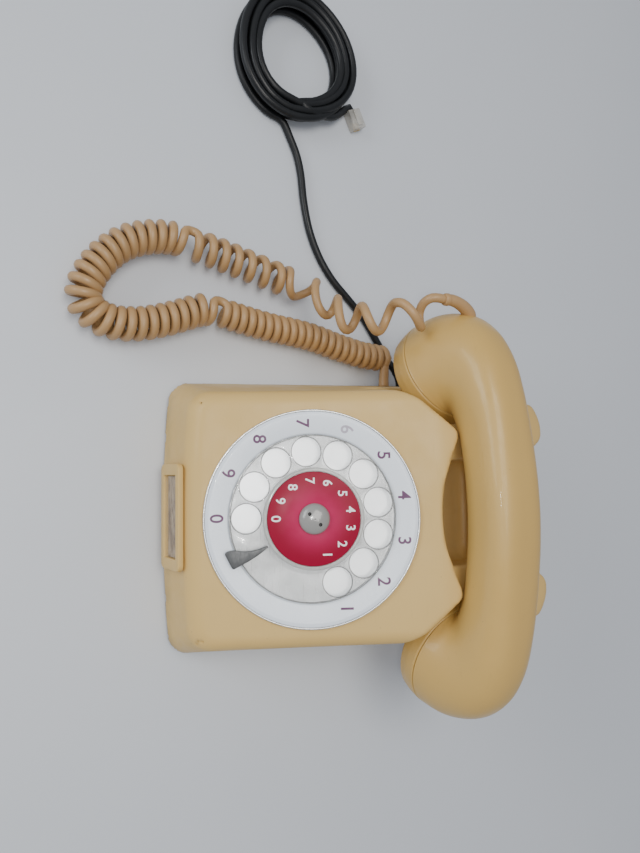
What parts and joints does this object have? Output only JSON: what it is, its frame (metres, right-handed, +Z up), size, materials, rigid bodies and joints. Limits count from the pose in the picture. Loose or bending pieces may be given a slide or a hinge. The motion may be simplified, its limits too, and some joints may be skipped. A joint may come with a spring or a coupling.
{
  "type": "rotary desk phone",
  "caption": "Wedge-shaped desk telephone with a clear finger-wheel dial, a cradled handset on a coiled cord and a coiled line cord with plug.",
  "frame": {"origin": "on the table, under the middle of the phone's box without its cords", "axes": "+X to the user's right along the handset, +Y away from the user, +Z up"},
  "size_m": [0.4297, 0.2489, 0.1205],
  "materials": {
    "housing": "aged cream-beige moulded plastic, satin",
    "handset": "aged beige moulded plastic, glossier and more orange",
    "number_ring": "pale silver-white plastic with printed digits",
    "bright_steel": "thin bright metal",
    "dial_plate": "silvery dished plate",
    "clear_plastic": "clear acrylic, fine scratches",
    "red_disc": "crimson disc with white digits",
    "grey_hub": "matte grey plastic",
    "stop_steel": "dull grey steel",
    "label_card": "aged paper card",
    "black_plastic": "black moulding",
    "zinc_plate": "zinc-plated steel",
    "brass": "turned brass",
    "gong_metal": "nickel-plated bell metal",
    "winding": "enamelled copper winding",
    "board": "brown laminate board",
    "rubber": "black rubber",
    "cord_beige": "orange-beige vinyl cord",
    "cord_black": "glossy black vinyl cord",
    "plug_clear": "clear plug with brass contacts"
  },
  "bodies": {
    "root": {"base_plate": "zinc_plate", "base_screw_left": "bright_steel", "base_screw_right": "bright_steel", "board_spacer_left": "brass", "board_spacer_right": "brass", "body_boot": "cord_beige", "capacitor": "grey_hub", "circuit_board": "board", "dial_bezel": "bright_steel", "dial_frame": "black_plastic", "dial_plate": "dial_plate", "finger_stop": "stop_steel", "foot_1": "rubber", "foot_2": "rubber", "foot_3": "rubber", "foot_4": "rubber", "gong_left": "gong_metal", "gong_post_left": "bright_steel", "gong_post_right": "bright_steel", "gong_right": "gong_metal", "governor_cup": "zinc_plate", "handset_cord": "cord_beige", "hook_bracket": "zinc_plate", "hook_contacts": "black_plastic", "hook_pivot_pin": "bright_steel", "housing": "housing", "induction_coil": "winding", "label_card": "label_card", "label_frame": "housing", "label_window": "clear_plastic", "line_cord": "cord_black", "line_cord_coil": "cord_black", "line_gland": "cord_black", "mainspring_drum": "zinc_plate", "modular_plug": "plug_clear", "number_ring": "number_ring", "pulse_contacts": "black_plastic", "ringer_coil": "winding", "ringer_frame": "zinc_plate", "terminal_block": "black_plastic"},
    "dial_wheel": {"finger_wheel": "clear_plastic", "centre_disc": "red_disc", "clamp_band": "clear_plastic", "hub_cap": "grey_hub", "dial_shaft": "bright_steel", "main_gear": "brass", "pulse_cam": "brass"},
    "governor": {"governor_shaft": "bright_steel", "governor_pinion": "brass", "governor_weights": "brass"},
    "handset": {"handset_handle": "handset", "ear_cap": "handset", "mouth_cap": "handset", "receiver_capsule": "zinc_plate", "transmitter_capsule": "zinc_plate", "handset_boot": "cord_beige"},
    "left_plunger": {"plunger_left": "grey_hub"},
    "right_plunger": {"plunger_right": "grey_hub"},
    "lever": {"hook_lever": "zinc_plate"},
    "striker": {"clapper": "bright_steel"}
  },
  "joints": [
    {"name": "dial_spin", "type": "hinge", "parent": "root", "child": "dial_wheel", "pos_m": [0, -0.0399, 0.06156], "axis": [0, 0.4258, -0.9048], "range_deg": [0, 320], "stiffness_Nm_per_rad": 0.01, "springref_deg": -28.65},
    {"name": "governor_spin", "type": "hinge", "parent": "root", "child": "governor", "pos_m": [0, -0.0176, 0.07206], "axis": [0, 0.4258, -0.9048], "range_deg": [-1290, 5]},
    {"name": "handset_lift", "type": "slide", "parent": "root", "child": "handset", "axis": [0, 0, 1], "range_m": [0, 0.06]},
    {"name": "left_plunger_rise", "type": "slide", "parent": "root", "child": "left_plunger", "axis": [0, 0, 1], "range_m": [0, 0.0035]},
    {"name": "right_plunger_rise", "type": "slide", "parent": "root", "child": "right_plunger", "axis": [0, 0, 1], "range_m": [0, 0.0035]},
    {"name": "lever_tip", "type": "hinge", "parent": "root", "child": "lever", "pos_m": [0, 0.026, 0.0469], "axis": [1, 0, 0], "range_deg": [-0.5, 8.5]},
    {"name": "clapper_swing", "type": "hinge", "parent": "root", "child": "striker", "pos_m": [0, 0.041, 0.0207], "axis": [0, 0, 1], "range_deg": [-10, 10], "stiffness_Nm_per_rad": 0.001}
  ],
  "couplings": [
    {"joint": "governor_spin", "follows": "dial_spin", "ratio": -4},
    {"joint": "left_plunger_rise", "follows": "handset_lift", "ratio": 0.05},
    {"joint": "right_plunger_rise", "follows": "handset_lift", "ratio": 0.05},
    {"joint": "lever_tip", "follows": "handset_lift", "rad_per_m": 2.2}
  ]
}
